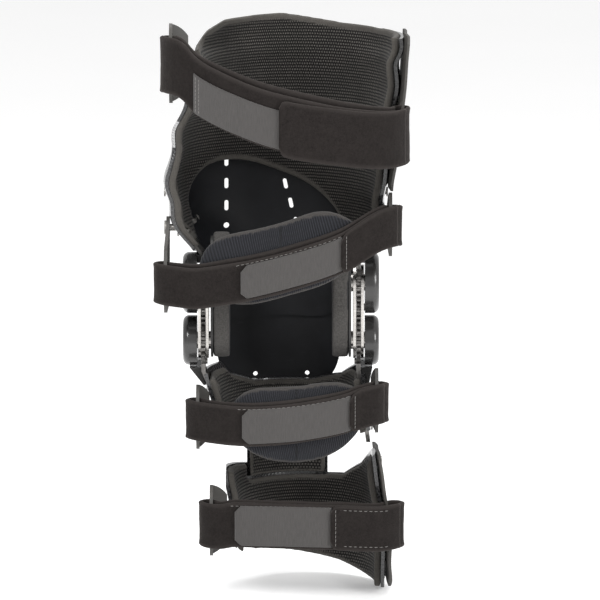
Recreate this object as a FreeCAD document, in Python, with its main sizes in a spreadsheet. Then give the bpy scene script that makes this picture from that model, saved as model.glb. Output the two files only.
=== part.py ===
"""Rigid knee brace for a right leg: two lined shells, geared two-axle hinges, kneecap guard, straps.

Frame, in millimetres: +X to the wearer's right, +Y to the front of the leg, +Z up. The origin is the
knee centre, midway between the right and left hinges and between the upper and lower hinge axles.
"""
import FreeCAD
import Part

import math
import os

import Sketcher
from FreeCAD import Placement, Rotation, Vector

doc = FreeCAD.newDocument("knee_brace")

# ---------------------------------------------------------------------------------------------
# Driving dimensions
# ---------------------------------------------------------------------------------------------

# The leg inside the brace, as ellipses: height, centre x, centre y, half width, half depth.
LEG_SECTIONS = {
    "ankle": (-215, 21, -4, 46, 45),
    "shin": (-155, 20, -4, 48, 49),
    "midcalf": (-115, 14, -3, 48, 52),
    "calftop": (-68, 6.5, -1, 48.5, 54),
    "belowknee": (-40, 1.5, 1, 51, 57),
    "knee": (0, 0, 2, 51, 60),
    "aboveknee": (40, -0.5, 1, 52, 61),
    "flare": (64, -1.75, 0, 68, 64),
    "lowthigh": (92, -4, 0, 72, 67),
    "midthigh": (125, 1, 1, 71, 70),
    "upperthigh": (170, 10, 2, 67.5, 71),
    "crown": (225, 15, 2, 66, 70),
}

DIMENSIONS = {
    "axle_drop": 21, "axle_radius": 4, "axle_head_radius": 6.5, "axle_nut_radius": 6,
    "plate_radius": 13, "plate_thick": 2, "inner_plate_x": 52, "outer_plate_x": 57.6,
    "plate_nose_reach": 21, "plate_nose_half": 7,
    "arm_x": 54.3, "arm_thick": 3, "arm_width": 22, "bush_radius": 5.5, "run_gap": 0.05,
    "gear_module": 1.5, "gear_teeth": 28, "gear_backlash": 0.3,
    "cap_x": 60.3, "cap_thick": 10.2, "upper_cap_radius": 22, "lower_cap_radius": 18,
    "cap_round": 4.5, "cap_bore_radius": 8, "cap_bore_deep": 3.2,
    "cap_foot_half": 7, "upper_foot_from": 15.5, "upper_foot_to": 20.5,
    "lower_foot_from": 13.8, "lower_foot_to": 17.4,
    "cap_screw_radius": 1.4, "cap_screw_head": 2.1, "upper_screw_reach": 18, "lower_screw_reach": 15.4,
    "stop_x": 54.5, "stop_thick": 2.6, "stop_y": 12.5, "stop_long": 7.5, "stop_half": 4.7,
    "stop_screw_y": 17, "stop_screw_radius": 1.5, "stop_head_radius": 2.8,
    "pad_x": 36.8, "pad_thick": 12, "pad_radius": 21, "pad_half": 25, "pad_mid_z": 12,
    "backing_thick": 1.6, "backing_radius": 18,
    "liner_in": 0.4, "liner_out": 5.2, "shell_in": 5.5, "shell_out": 8,
    "wing_in": 8.8, "wing_out": 10.6, "guard_in": 9, "guard_out": 11, "cup_in": 12.2, "cup_out": 14.2,
    "shell_rear": -14, "wing_rear": -34, "slot_y": -25,
    "tab_thick": 2.4, "tab_gap": 1.0, "tab_rivet_y": -5, "rivet_radius": 2.5, "rivet_head": 5,
    "arm_rivet_y": 7.5, "arm_rivet_radius": 2, "arm_rivet_head": 3.5,
    "strap_thick": 2.5, "strap_clear": 2.2, "hook_thick": 1.2, "strap_pad_thick": 8,
    "thigh_strap_wide": 38, "knee_strap_wide": 27, "calf_strap_wide": 28, "bottom_strap_wide": 33,
}

sheet = doc.addObject("Spreadsheet::Sheet", "dims")


def write_sheet():
    """Put each driving dimension in a cell, with its name beside it."""
    rows = list(DIMENSIONS.items())
    for name, values in LEG_SECTIONS.items():
        keys = ("height", "midx", "midy", "halfwide", "halfdeep")
        rows += [(f"{name}_{key}", value) for key, value in zip(keys, values)]
    for row, (alias, value) in enumerate(rows, start=1):
        sheet.set(f"A{row}", alias)
        sheet.set(f"B{row}", str(value))
        sheet.setAlias(f"B{row}", alias)
    doc.recompute()


def dim(alias):
    """Value of one cell of the sheet."""
    return float(sheet.get(alias))


write_sheet()
PARTS = {}


def keep(label, obj):
    """Register a sub-part under its node name."""
    obj.Label = label
    PARTS[label] = obj
    return obj


def feature(label, shape, placement=None):
    """A sub-part whose shape comes from Part's own functions."""
    obj = doc.addObject("Part::Feature", label)
    obj.Shape = shape
    obj.Placement = placement or Placement()
    return keep(label, obj)


# ---------------------------------------------------------------------------------------------
# Parametric building blocks for the hinges
# ---------------------------------------------------------------------------------------------

def bind(obj, **expressions):
    """Bind properties to sheet cells; a double underscore stands for a dot."""
    for prop, text in expressions.items():
        obj.setExpression(prop.replace("__", "."), text)
    return obj


def at(x="0", y="0", z="0"):
    """Placement expressions for a primitive."""
    return {"Placement__Base__x": x, "Placement__Base__y": y, "Placement__Base__z": z}


def rod(name, radius, length, x="0", y="0", z="0"):
    """Cylinder along +X."""
    obj = doc.addObject("Part::Cylinder", name)
    obj.Placement = Placement(Vector(), Rotation(Vector(0, 1, 0), 90))
    return bind(obj, Radius=radius, Height=length, **at(x, y, z))


def block(name, length, width, height, x="0", y="0", z="0"):
    """Box with its low corner at x, y, z."""
    obj = doc.addObject("Part::Box", name)
    return bind(obj, Length=length, Width=width, Height=height, **at(x, y, z))


def fuse(name, *shapes):
    obj = doc.addObject("Part::MultiFuse", name)
    obj.Shapes = list(shapes)
    obj.Refine = True
    return obj


def cut(name, base, tool):
    obj = doc.addObject("Part::Cut", name)
    obj.Base = base
    obj.Tool = tool
    return obj


def mirrored(label, source):
    """Left-hand twin of a right-hand piece."""
    obj = doc.addObject("Part::Mirroring", label)
    obj.Source = source
    obj.Normal = Vector(1, 0, 0)
    return keep(label, obj)


def both_sides(name, obj):
    """Register a hinge piece on the right and its mirror image on the left."""
    keep(f"{name}_right", obj)
    mirrored(f"{name}_left", obj)


def new_body(name, x, z="0"):
    body = doc.addObject("PartDesign::Body", name)
    return bind(body, **at(x, "0", z))


def side_sketch(body, name, lift="0"):
    """Sketch on the body's YZ plane, lifted along +X."""
    sketch = body.newObject("Sketcher::SketchObject", name)
    plane = next(f for f in body.Origin.OriginFeatures if f.Role == "YZ_Plane")
    sketch.AttachmentSupport = [(plane, "")]
    sketch.MapMode = "FlatFace"
    sketch.setExpression("AttachmentOffset.Base.z", lift)
    return sketch


def circle(sketch, radius):
    """Circle about the sketch origin with its radius bound to the sheet."""
    ring = sketch.addGeometry(Part.Circle(Vector(), Vector(0, 0, 1), 5), False)
    sketch.addConstraint(Sketcher.Constraint("Coincident", ring, 3, -1, 1))
    size = sketch.addConstraint(Sketcher.Constraint("Radius", ring, 5))
    sketch.setExpression(f"Constraints[{size}]", radius)


def stadium(sketch, radius, half):
    """Upright rounded slot about the sketch origin: end radius and half centre distance."""
    start_radius, start_half = 20, 25
    up, down = Vector(0, start_half, 0), Vector(0, -start_half, 0)
    normal = Vector(0, 0, 1)
    top = sketch.addGeometry(Part.ArcOfCircle(Part.Circle(up, normal, start_radius), 0, math.pi), False)
    low = sketch.addGeometry(
        Part.ArcOfCircle(Part.Circle(down, normal, start_radius), math.pi, 2 * math.pi), False)
    left = sketch.addGeometry(
        Part.LineSegment(Vector(-start_radius, start_half, 0), Vector(-start_radius, -start_half, 0)), False)
    right = sketch.addGeometry(
        Part.LineSegment(Vector(start_radius, -start_half, 0), Vector(start_radius, start_half, 0)), False)
    for pair in ((top, 2, left, 1), (left, 2, low, 1), (low, 2, right, 1), (right, 2, top, 1)):
        sketch.addConstraint(Sketcher.Constraint("Tangent", *pair))
    sketch.addConstraint(Sketcher.Constraint("PointOnObject", top, 3, -2))
    sketch.addConstraint(Sketcher.Constraint("Symmetric", top, 3, low, 3, -1, 1))
    tall = sketch.addConstraint(Sketcher.Constraint("DistanceY", -1, 1, top, 3, start_half))
    size = sketch.addConstraint(Sketcher.Constraint("Radius", top, start_radius))
    sketch.setExpression(f"Constraints[{tall}]", half)
    sketch.setExpression(f"Constraints[{size}]", radius)


def pad(body, sketch, length, name):
    obj = body.newObject("PartDesign::Pad", name)
    obj.Profile = sketch
    obj.setExpression("Length", length)
    sketch.Visibility = False
    return obj


def pocket(body, sketch, length, name):
    """Pocket that runs outward, along the sketch normal."""
    obj = body.newObject("PartDesign::Pocket", name)
    obj.Profile = sketch
    obj.Reversed = True
    obj.setExpression("Length", length)
    return obj


# ---------------------------------------------------------------------------------------------
# Hinge pieces, right-hand side, then mirrored
# ---------------------------------------------------------------------------------------------

def hinge_plate(name, x):
    """Plate across both axles, with a nose in front that carries the extension stop."""
    thick = "dims.plate_thick"
    outline = fuse(
        f"{name}_outline",
        rod(f"{name}_top", "dims.plate_radius", thick, x, "0", "dims.axle_drop"),
        rod(f"{name}_low", "dims.plate_radius", thick, x, "0", "-dims.axle_drop"),
        block(f"{name}_web", thick, "2 * dims.plate_radius", "2 * dims.axle_drop",
              x, "-dims.plate_radius", "-dims.axle_drop"),
        block(f"{name}_nose", thick, "dims.plate_nose_reach", "2 * dims.plate_nose_half",
              x, "0", "-dims.plate_nose_half"))
    holes = [
        rod(f"{name}_hole_top", "dims.axle_radius", "4 * dims.plate_thick", f"{x} - 2", "0", "dims.axle_drop"),
        rod(f"{name}_hole_low", "dims.axle_radius", "4 * dims.plate_thick", f"{x} - 2", "0",
            "-dims.axle_drop")]
    if name == "outer_hinge_plate":
        holes.append(rod(f"{name}_hole_stop", "dims.stop_screw_radius", "4 * dims.plate_thick",
                         f"{x} - 2", "dims.stop_screw_y", "0"))
    both_sides(name, cut(f"{name}_cut", outline, fuse(f"{name}_holes", *holes)))


def hinge_axles():
    """Two headed axles with a nut outside."""
    solids = []
    for place, z in (("top", "dims.axle_drop"), ("low", "-dims.axle_drop")):
        solids += [
            rod(f"axle_{place}_shank", "dims.axle_radius",
                "dims.outer_plate_x + dims.plate_thick - dims.inner_plate_x", "dims.inner_plate_x", "0", z),
            rod(f"axle_{place}_head", "dims.axle_head_radius",
                "dims.inner_plate_x - dims.pad_x - dims.pad_thick - dims.backing_thick",
                "dims.pad_x + dims.pad_thick + dims.backing_thick", "0", z),
            rod(f"axle_{place}_nut", "dims.axle_nut_radius", "3",
                "dims.outer_plate_x + dims.plate_thick", "0", z)]
    both_sides("hinge_axles", fuse("axles", *solids))


def hinge_cap(name, radius, z, foot_from, foot_to, screw_z, up):
    """Domed round cover with a bore for the axle nut and a foot that stands on the arm."""
    body = new_body(f"{name}_body", "dims.cap_x", z)
    disc = side_sketch(body, f"{name}_disc")
    circle(disc, radius)
    solid = pad(body, disc, "dims.cap_thick", f"{name}_pad")
    doc.recompute()
    rim = body.newObject("PartDesign::Fillet", f"{name}_round")
    outer = [f"Edge{i}" for i, e in enumerate(solid.Shape.Edges, 1)
             if e.BoundBox.XMin > solid.Shape.BoundBox.XMax - 0.01 and e.BoundBox.ZLength > 1]
    rim.Base = (solid, outer)
    rim.setExpression("Radius", "dims.cap_round")
    bore = side_sketch(body, f"{name}_bore")
    circle(bore, "dims.cap_bore_radius")
    pocket(body, bore, "dims.cap_bore_deep", f"{name}_pocket")
    low = f"{z} + {foot_from}" if up else f"{z} - {foot_to}"
    foot = block(f"{name}_foot", "dims.cap_x - dims.arm_x - dims.arm_thick + 1", "2 * dims.cap_foot_half",
                 f"{foot_to} - {foot_from}", "dims.arm_x + dims.arm_thick", "-dims.cap_foot_half", low)
    hole = rod(f"{name}_screw_hole", "dims.cap_screw_radius", "9", "dims.arm_x", "0", f"{z} + {screw_z}")
    both_sides(name, cut(f"{name}_drilled", fuse(f"{name}_with_foot", body, foot), hole))


def extension_stop():
    """Wedge between the arms' shoulders, held by a screw through the outer plate."""
    wedge = block("stop_wedge", "dims.stop_thick", "dims.stop_long", "2 * dims.stop_half",
                  "dims.stop_x", "dims.stop_y", "-dims.stop_half")
    drilled = rod("stop_drill", "dims.stop_screw_radius", "20", "dims.stop_x - 5", "dims.stop_screw_y", "0")
    gear_room = "dims.gear_module * (dims.gear_teeth / 2 + 0.9) + 0.3"
    upper = rod("stop_room_upper", gear_room, "20", "dims.stop_x - 5", "0", "dims.axle_drop")
    lower = rod("stop_room_lower", gear_room, "20", "dims.stop_x - 5", "0", "-dims.axle_drop")
    trimmed = cut("stop_trimmed_lower", cut("stop_trimmed_upper", wedge, upper), lower)
    both_sides("extension_stop", cut("stop_drilled", trimmed, drilled))
    shank = rod("stop_screw_shank", "dims.stop_screw_radius",
                "dims.outer_plate_x + dims.plate_thick - dims.stop_x", "dims.stop_x", "dims.stop_screw_y", "0")
    head = rod("stop_screw_head", "dims.stop_head_radius", "1.4",
               "dims.outer_plate_x + dims.plate_thick", "dims.stop_screw_y", "0")
    both_sides("stop_screw", fuse("stop_screw_whole", shank, head))


def condyle_pads():
    """Soft pad that rests on the side of the knee, and the stiff plate behind it."""
    soft = new_body("condyle_pad_body", "dims.pad_x", "dims.pad_mid_z")
    outline = side_sketch(soft, "condyle_pad_outline")
    stadium(outline, "dims.pad_radius", "dims.pad_half")
    pad(soft, outline, "dims.pad_thick", "condyle_pad_block")
    both_sides("condyle_pad", soft)
    stiff = new_body("condyle_backing_body", "dims.pad_x + dims.pad_thick", "dims.pad_mid_z")
    outline = side_sketch(stiff, "condyle_backing_outline")
    stadium(outline, "dims.backing_radius", "dims.pad_half")
    pad(stiff, outline, "dims.backing_thick", "condyle_backing_block")
    both_sides("condyle_backing", stiff)


hinge_plate("inner_hinge_plate", "dims.inner_plate_x")
hinge_plate("outer_hinge_plate", "dims.outer_plate_x")
hinge_axles()
hinge_cap("upper_hinge_cap", "dims.upper_cap_radius", "dims.axle_drop",
          "dims.upper_foot_from", "dims.upper_foot_to", "dims.upper_screw_reach", True)
hinge_cap("lower_hinge_cap", "dims.lower_cap_radius", "-dims.axle_drop",
          "dims.lower_foot_from", "dims.lower_foot_to", "-dims.lower_screw_reach", False)
extension_stop()
condyle_pads()

# ---------------------------------------------------------------------------------------------
# The leg's surface and what follows it
# ---------------------------------------------------------------------------------------------

HEIGHTS = [dim(f"{name}_height") for name in LEG_SECTIONS]
RING_POINTS = 16
STATION_STEP = 16.0
GROWN = {}


def leg(z, key):
    """One measure of the leg's ellipse at height z, eased between the driving sections."""
    values = [dim(f"{name}_{key}") for name in LEG_SECTIONS]
    if z <= HEIGHTS[0]:
        return values[0]
    for low, high, start, end in zip(HEIGHTS, HEIGHTS[1:], values, values[1:]):
        if z <= high:
            share = (z - low) / (high - low)
            return start + (end - start) * (0.6 * share + 0.4 * share * share * (3 - 2 * share))
    return values[-1]


def skin_point(z, offset, angle):
    """Point on the leg's surface, grown by offset; angle 0 is +X and 90 is the front."""
    turn = math.radians(angle)
    return Vector(leg(z, "midx") + (leg(z, "halfwide") + offset) * math.cos(turn),
                  leg(z, "midy") + (leg(z, "halfdeep") + offset) * math.sin(turn), z)


def skin_x(z, offset, side, y=0.0):
    """X of the grown surface at height z and depth y on one side."""
    share = (y - leg(z, "midy")) / (leg(z, "halfdeep") + offset)
    return leg(z, "midx") + side * (leg(z, "halfwide") + offset) * math.sqrt(1 - share * share)


def skin_y(x, z, offset):
    """Y of the front of the grown surface at x and z."""
    share = (x - leg(z, "midx")) / (leg(z, "halfwide") + offset)
    return leg(z, "midy") + (leg(z, "halfdeep") + offset) * math.sqrt(1 - share * share)


def spline(points, closed=False):
    curve = Part.BSplineCurve()
    curve.interpolate(Points=points, PeriodicFlag=closed)
    return curve.toShape()


def stations(low, high):
    count = max(2, math.ceil((high - low) / STATION_STEP) + 1)
    return [low + (high - low) * i / (count - 1) for i in range(count)]


def grown_leg(offset):
    """Solid leg grown by offset, over its whole length, made once for each offset."""
    if offset not in GROWN:
        rings = []
        for z in stations(HEIGHTS[0] - 8, HEIGHTS[-1] + 8):
            points = [skin_point(z, offset, 360 * i / RING_POINTS) for i in range(RING_POINTS)]
            rings.append(Part.Wire(spline(points, closed=True)))
        GROWN[offset] = Part.makeLoft(rings, True)
    return GROWN[offset]


def layer(inner, outer, low, high):
    """Tube between two offsets of the leg's surface, between two heights."""
    slab = box(-150, 150, -150, 150, low, high)
    return grown_leg(outer).common(slab).cut(grown_leg(inner))


def prism_y(points, low=-120, high=120, smooth=False, grow=0.0):
    """Prism along Y from an outline in X and Z."""
    corners = [Vector(x, low, z) for x, z in points]
    edge = spline(corners, closed=True) if smooth else Part.makePolygon(corners + corners[:1])
    face = Part.Face(Part.Wire(edge.Edges))
    if grow:
        face = Part.Face(face.makeOffset2D(grow).Wires[0])
    return face.extrude(Vector(0, high - low, 0))


def prism_x(points, low=-120, high=120, smooth=False):
    """Prism along X from an outline in Y and Z."""
    corners = [Vector(low, y, z) for y, z in points]
    edge = spline(corners, closed=True) if smooth else Part.makePolygon(corners + corners[:1])
    return Part.Face(Part.Wire(edge.Edges)).extrude(Vector(high - low, 0, 0))


def box(x0, x1, y0, y1, z0, z1):
    return Part.makeBox(x1 - x0, y1 - y0, z1 - z0, Vector(x0, y0, z0))


def pin(radius, length, base, direction=(1, 0, 0)):
    return Part.makeCylinder(radius, length, Vector(*base), Vector(*direction))


def merged(shapes):
    """One clean solid from overlapping ones."""
    return shapes[0].multiFuse(shapes[1:]).removeSplitter()


# Outlines in X and Z, seen along the leg's front-to-back direction.
KNEE_WINDOW = [(-66, 70), (-64, 88), (-54, 98), (-38, 101), (-22, 99), (-4, 93), (14, 86), (31, 75),
               (42, 62), (48, 45), (50, 10), (0, -20), (-50, 10), (-54, 38), (-62, 54)]
THIGH_CUFF = [(-100, 20), (-100, 160), (-64, 176), (-60, 188), (-52, 198), (-40, 204), (0, 205.5),
              (22, 202), (44, 199), (72, 198), (100, 201), (100, 20)]
THIGH_REAR_LEFT = [(-14, 20), (-14, 104), (-6, 120), (14, 136), (14, 150), (-2, 162), (-10, 172),
                   (-10, 230), (100, 230), (100, 20)]
CALF_YOKE = [(-70, -44), (-44, -44), (-37, -53), (-20, -60), (22, -60), (44, -53), (54, -44), (80, -44),
             (80, -80), (52, -89), (36, -96), (34, -112), (-24, -112), (-28, -95), (-42, -87), (-70, -80)]
SHIN_PLATE = [(-25, -105), (34, -105), (34, -140), (-25, -140)]
BOTTOM_CUFF = [(-40, -115), (-24, -119), (4, -125), (32, -129), (46, -128), (58, -118), (66, -104),
               (72, -98), (95, -98), (95, -204), (66, -200), (42, -192), (10, -186), (-19, -181),
               (-31, -173), (-40, -166)]
GUARD_PLATE = [(-72, 84), (-66, 102), (-53, 109), (-38, 112), (-20, 110), (2, 104), (24, 96), (42, 83),
               (53, 66), (56, 44), (50, 14), (38, -10), (0, -15), (-40, -12), (-52, 14), (-62, 44)]
GUARD_CUP = [(-46, -6), (-20, 0), (14, 0), (42, -6), (44, -34), (36, -58), (22, -68), (-26, -68),
             (-40, -58), (-48, -34)]


# ---------------------------------------------------------------------------------------------
# Strap tabs: slotted plates on rivets, joggled outward so that the strap passes behind the shell's edge
# ---------------------------------------------------------------------------------------------

# name: side, rivet height, slot height above the rivet, joggle, strap width
TABS = {
    "top_left": (-1, 183.0, 0.0, 11.0, dim("thigh_strap_wide")),
    "knee_left": (-1, 62.0, -36.0, 1.5, dim("knee_strap_wide")),
    "knee_right": (1, 72.0, -5.0, 1.0, dim("knee_strap_wide")),
    "calf_left": (-1, -73.0, 0.0, 7.0, dim("calf_strap_wide")),
    "calf_right": (1, -66.0, 5.0, 3.0, dim("calf_strap_wide")),
    "bottom_left": (-1, -149.0, 0.0, 10.0, dim("bottom_strap_wide")),
}
SLOT_REACH = dim("tab_rivet_y") - dim("slot_y")
SLOT_HALF = 4.5
JOGGLE_FROM, JOGGLE_TO = -8.0, -14.5
TAB_ROOT_RADIUS = 8.0


def tab_placement(side, z, rise):
    """Frame of a tab: upright, origin just outside the widest part of the shell behind its root and neck."""
    y, offset = dim("tab_rivet_y"), dim("shell_out")
    spots = [(0, 0), (-2, rise / 2)]
    for angle in range(0, 360, 45):
        turn = math.radians(angle)
        spots.append((TAB_ROOT_RADIUS * math.cos(turn), TAB_ROOT_RADIUS * math.sin(turn)))
    reach = [side * skin_x(z + up, offset, side, y + ahead) for ahead, up in spots]
    return Placement(Vector(side * max(reach), y, z), Rotation())


def slot_middle(side, rise, joggle):
    """Middle of a tab's slot, in the tab's own frame."""
    return Vector(side * (dim("tab_gap") + dim("tab_thick") / 2 + joggle), -SLOT_REACH, rise)


def tab(side, drop, joggle, strap_wide):
    """Joggled plate: root round the rivet, then an oval with a slot longer than the strap is wide."""
    gap, thick = dim("tab_gap"), dim("tab_thick")
    far = SLOT_REACH + 12
    route = [(gap, 12), (gap, JOGGLE_FROM), (gap + joggle, JOGGLE_TO), (gap + joggle, -far)]
    outline = route + [(x + thick, y) for x, y in reversed(route)]
    corners = [Vector(side * x, y, -80) for x, y in outline]
    strip = Part.Face(Part.makePolygon(corners + corners[:1])).extrude(Vector(0, 0, 160))
    half_tall = strap_wide / 2 + 9.5
    half_long = 12.5
    oval = Part.Ellipse(Vector(0, 0, 0), half_tall, half_long).toShape()
    face = Part.Face(Part.Wire(oval))
    face.Placement = Placement(Vector(-50, -SLOT_REACH + 2.5, drop), Rotation(Vector(0, 1, 0), -90))
    plate = face.extrude(Vector(100, 0, 0))
    root = pin(TAB_ROOT_RADIUS, 100, (-50, 0, 0))
    reach = math.hypot(SLOT_REACH - 3, drop)
    neck = box(-50, 50, -reach, 0, -TAB_ROOT_RADIUS, TAB_ROOT_RADIUS)
    neck.rotate(Vector(), Vector(1, 0, 0), math.degrees(math.atan2(-drop, SLOT_REACH - 3)))
    shape = merged([plate, root, neck]).common(strip)
    run = strap_wide / 2 + 3.5 - SLOT_HALF
    slot = merged([box(-50, 50, -SLOT_REACH - SLOT_HALF, -SLOT_REACH + SLOT_HALF, drop - run, drop + run),
                   pin(SLOT_HALF, 100, (-50, -SLOT_REACH, drop - run)),
                   pin(SLOT_HALF, 100, (-50, -SLOT_REACH, drop + run))])
    return shape.cut(slot).cut(pin(dim("rivet_radius") + dim("run_gap"), 100, (-50, 0, 0)))


def tab_rivet(side):
    """Rivet through the shell and the tab, with a flat head outside."""
    reach = dim("tab_gap") + dim("tab_thick") + 0.1
    shank = pin(dim("rivet_radius"), reach + 4.0, (-4.0 * side, 0, 0), (side, 0, 0))
    head = pin(dim("rivet_head"), 1.4, (reach * side, 0, 0), (side, 0, 0))
    return shank.fuse(head)


SLOTS = {}
tab_rivets = {1: [], -1: []}
for name, (side, z, rise, joggle, wide) in TABS.items():
    place = tab_placement(side, z, rise)
    feature(f"strap_tab_{name}", tab(side, rise, joggle, wide), place)
    SLOTS[name] = place.multVec(slot_middle(side, rise, joggle))
    rivet = tab_rivet(side)
    rivet.Placement = place
    tab_rivets[1 if z > 0 else -1].append(rivet)
    print("tab", name, "pivot", [round(v, 2) for v in place.Base], "slot", [round(v, 1) for v in SLOTS[name]])


# ---------------------------------------------------------------------------------------------
# Wings: thin plates outside the shells on the lateral side
# ---------------------------------------------------------------------------------------------

def wing(label, low, high, slot_z, strap_wide, rivet_heights, splay, corner):
    """Plate that hugs the shell at its front and runs straight back from there."""
    front, straight, rear = 16.0, -6.0, dim("wing_rear")
    rings = []
    for z in stations(low, high):
        lines = []
        for offset in (dim("wing_in"), dim("wing_out")):
            hug = [Vector(skin_x(z, offset, 1, y), y, z) for y in (front, 8.0, 1.0, straight)]
            run = straight - rear
            tail = [Vector(hug[-1].x + share * run * math.tan(math.radians(splay)), straight - share * run, z)
                    for share in (0.5, 1.0)]
            lines.append(hug + tail)
        inner, outer = lines
        rings.append(Part.Wire([
            spline(outer), Part.makeLine(outer[-1], inner[-1]),
            spline(list(reversed(inner))), Part.makeLine(inner[0], outer[0])]))
    plate = Part.makeLoft(rings, True)
    outline = [(front, low), (rear + corner, low), (rear, low + corner), (rear, high - corner),
               (rear + corner, high), (front, high)]
    half = strap_wide / 2 + 3.5
    y = dim("slot_y")
    shape = plate.common(prism_x(outline)).cut(grown_leg(dim("shell_out") + 0.1))
    shape = shape.cut(box(40, 120, y - 3.5, y + 3.5, slot_z - half, slot_z + half))
    for z in rivet_heights:
        shape = shape.cut(pin(2, 120, (40, 7, z)))
    place_x = skin_x(slot_z, dim("wing_in") + 0.9, 1, straight)
    SLOTS[label] = Vector(place_x + (straight - y) * math.tan(math.radians(splay)), y, slot_z)
    return feature(label, shape)


WING_RIVETS = {1: (112.0, 150.0, 188.0), -1: (-112.0, -150.0, -186.0)}
wings = {
    1: wing("lateral_thigh_wing", 92, 203, 133.0, dim("thigh_strap_wide"), WING_RIVETS[1], 4, 5.0),
    -1: wing("lateral_calf_wing", -196, -99, -150.0, dim("bottom_strap_wide"), WING_RIVETS[-1], 3, 4.0),
}


ARM_RIVETS = {1: (57.0, 71.0, 86.0), -1: (-57.0, -71.0, -85.0)}


def shell_rivets(label, up):
    """All the rivets of one shell: arms, wing and strap tabs."""
    solids = list(tab_rivets[up])
    y, radius, head_radius = dim("arm_rivet_y"), dim("arm_rivet_radius"), dim("arm_rivet_head")
    for side in (1, -1):
        for z in ARM_RIVETS[up]:
            outer = side * skin_x(z, dim("shell_out"), side, y)
            length = 7.4
            shank = pin(radius, length, (side * (outer - length + 0.5), y, z), (side, 0, 0))
            head = pin(head_radius, 1.2, (side * (outer + 0.4), y, z), (side, 0, 0))
            solids.append(shank.fuse(head))
    for z in WING_RIVETS[up]:
        outer = skin_x(z, dim("wing_out"), 1, 7)
        solids.append(pin(2, 5.6, (outer - 5.2, 7, z)).fuse(pin(4, 1.2, (outer + 0.3, 7, z))))
    solids = [solid.cut(wings[up].Shape) for solid in solids]
    return feature(label, Part.makeCompound(solids))


rivets = {1: shell_rivets("thigh_rivets", 1), -1: shell_rivets("calf_rivets", -1)}


# ---------------------------------------------------------------------------------------------
# Hinge arms: bent bars with a gear sector round each axle
# ---------------------------------------------------------------------------------------------

def gear_outline(first, last):
    """Gear sector outline in the YZ plane about the origin: teeth from first to last degrees, plain
    round blank elsewhere. A tooth is centred on -90 degrees plus whole pitches."""
    module, count = dim("gear_module"), int(dim("gear_teeth"))
    pitch_radius = module * count / 2
    base_radius = pitch_radius * math.cos(math.radians(20))
    root_radius, tip_radius = pitch_radius - 1.3 * module, pitch_radius + 0.9 * module
    step = 360 / count

    def involute(radius):
        """Angle, in degrees, that the flank has turned at a radius."""
        ratio = max(radius, base_radius) / base_radius
        return math.degrees(math.sqrt(ratio * ratio - 1) - math.acos(1 / ratio))

    half_pitch = step / 4 - math.degrees(dim("gear_backlash") / 2 / pitch_radius)
    flank_radii = [root_radius] + [base_radius + (tip_radius - base_radius) * i / 4 for i in range(5)]

    def polar(radius, angle):
        return Vector(0, radius * math.cos(math.radians(angle)), radius * math.sin(math.radians(angle)))

    teeth = [i for i in range(count) if first <= -90 + (i - count / 2) * step <= last]
    points = []
    for i in teeth:
        middle = -90 + (i - count / 2) * step
        widths = [half_pitch + involute(pitch_radius) - involute(r) for r in flank_radii]
        points += [polar(r, middle - w) for r, w in zip(flank_radii, widths)]
        points += [polar(r, middle + w) for r, w in zip(reversed(flank_radii), reversed(widths))]
    start = -90 + (teeth[-1] - count / 2) * step + step / 2
    end = -90 + (teeth[0] - count / 2) * step - step / 2 + 360
    blank = [polar(root_radius, start + (end - start) * i / 24) for i in range(25)]
    return points + blank


def arm(label, side, up, reach_z, bend_from, bend_to, tooth_shift):
    """Bar with a gear round its axle, bent to meet the inside of the shell."""
    thick, flat_x = dim("arm_thick"), dim("arm_x")
    axle_z = up * dim("axle_drop")
    shell = dim("shell_in")

    def outer_x(z):
        """Distance outward, from the centre plane, of the bar's outer face at a height."""
        return side * skin_x(z, shell, side) - 0.1

    flat = flat_x + thick
    route = [(flat, 0), (flat, bend_from), (outer_x(bend_to), bend_to), (outer_x(reach_z), reach_z)]
    profile = [(side * x, z) for x, z in route] + [(side * (x - thick), z) for x, z in reversed(route)]
    bar = prism_y(profile, -40, 40)

    gear = gear_outline(-206, -54)
    turned = []
    for p in gear:
        spin = math.radians(tooth_shift)
        y = p.y * math.cos(spin) - p.z * math.sin(spin)
        z = p.y * math.sin(spin) + p.z * math.cos(spin)
        turned.append((y, axle_z + up * z))
    disc = prism_x(turned)
    half = dim("arm_width") / 2
    reach = reach_z - up * half
    straight = box(-120, 120, -half, half, min(axle_z, reach), max(axle_z, reach))
    round_end = pin(half, 240, (-120, 0, reach))
    shoulder_z = sorted((up * (dim("stop_half") + 0.1), axle_z - up * 8))
    shoulder = box(-120, 120, 10, 20, *shoulder_z)
    outline = merged([disc, straight, round_end, shoulder])
    eye = pin(dim("bush_radius"), 240, (-120, 0, axle_z))
    shape = bar.common(outline).cut(eye)
    screw_z = axle_z + up * CAP_SCREW_REACH[up]
    shape = shape.cut(pin(dim("cap_screw_radius"), 240, (-120, 0, screw_z))).cut(rivets[up].Shape)
    return feature(label, shape)


CAP_SCREW_REACH = {1: dim("upper_screw_reach"), -1: dim("lower_screw_reach")}
BEND = {1: (42.5, 64.0, 98.0), -1: (-42.0, -62.0, -96.0)}
TOOTH_PITCH = 360 / dim("gear_teeth")

arms = {}
for side, hand in ((1, "right"), (-1, "left")):
    for up, name in ((1, "thigh_hinge_arm"), (-1, "calf_hinge_arm")):
        bend_from, bend_to, reach = BEND[up]
        shift = 0 if up > 0 else TOOTH_PITCH / 2
        arms[up, side] = arm(f"{name}_{hand}", side, up, reach, bend_from, bend_to, shift)


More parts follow.
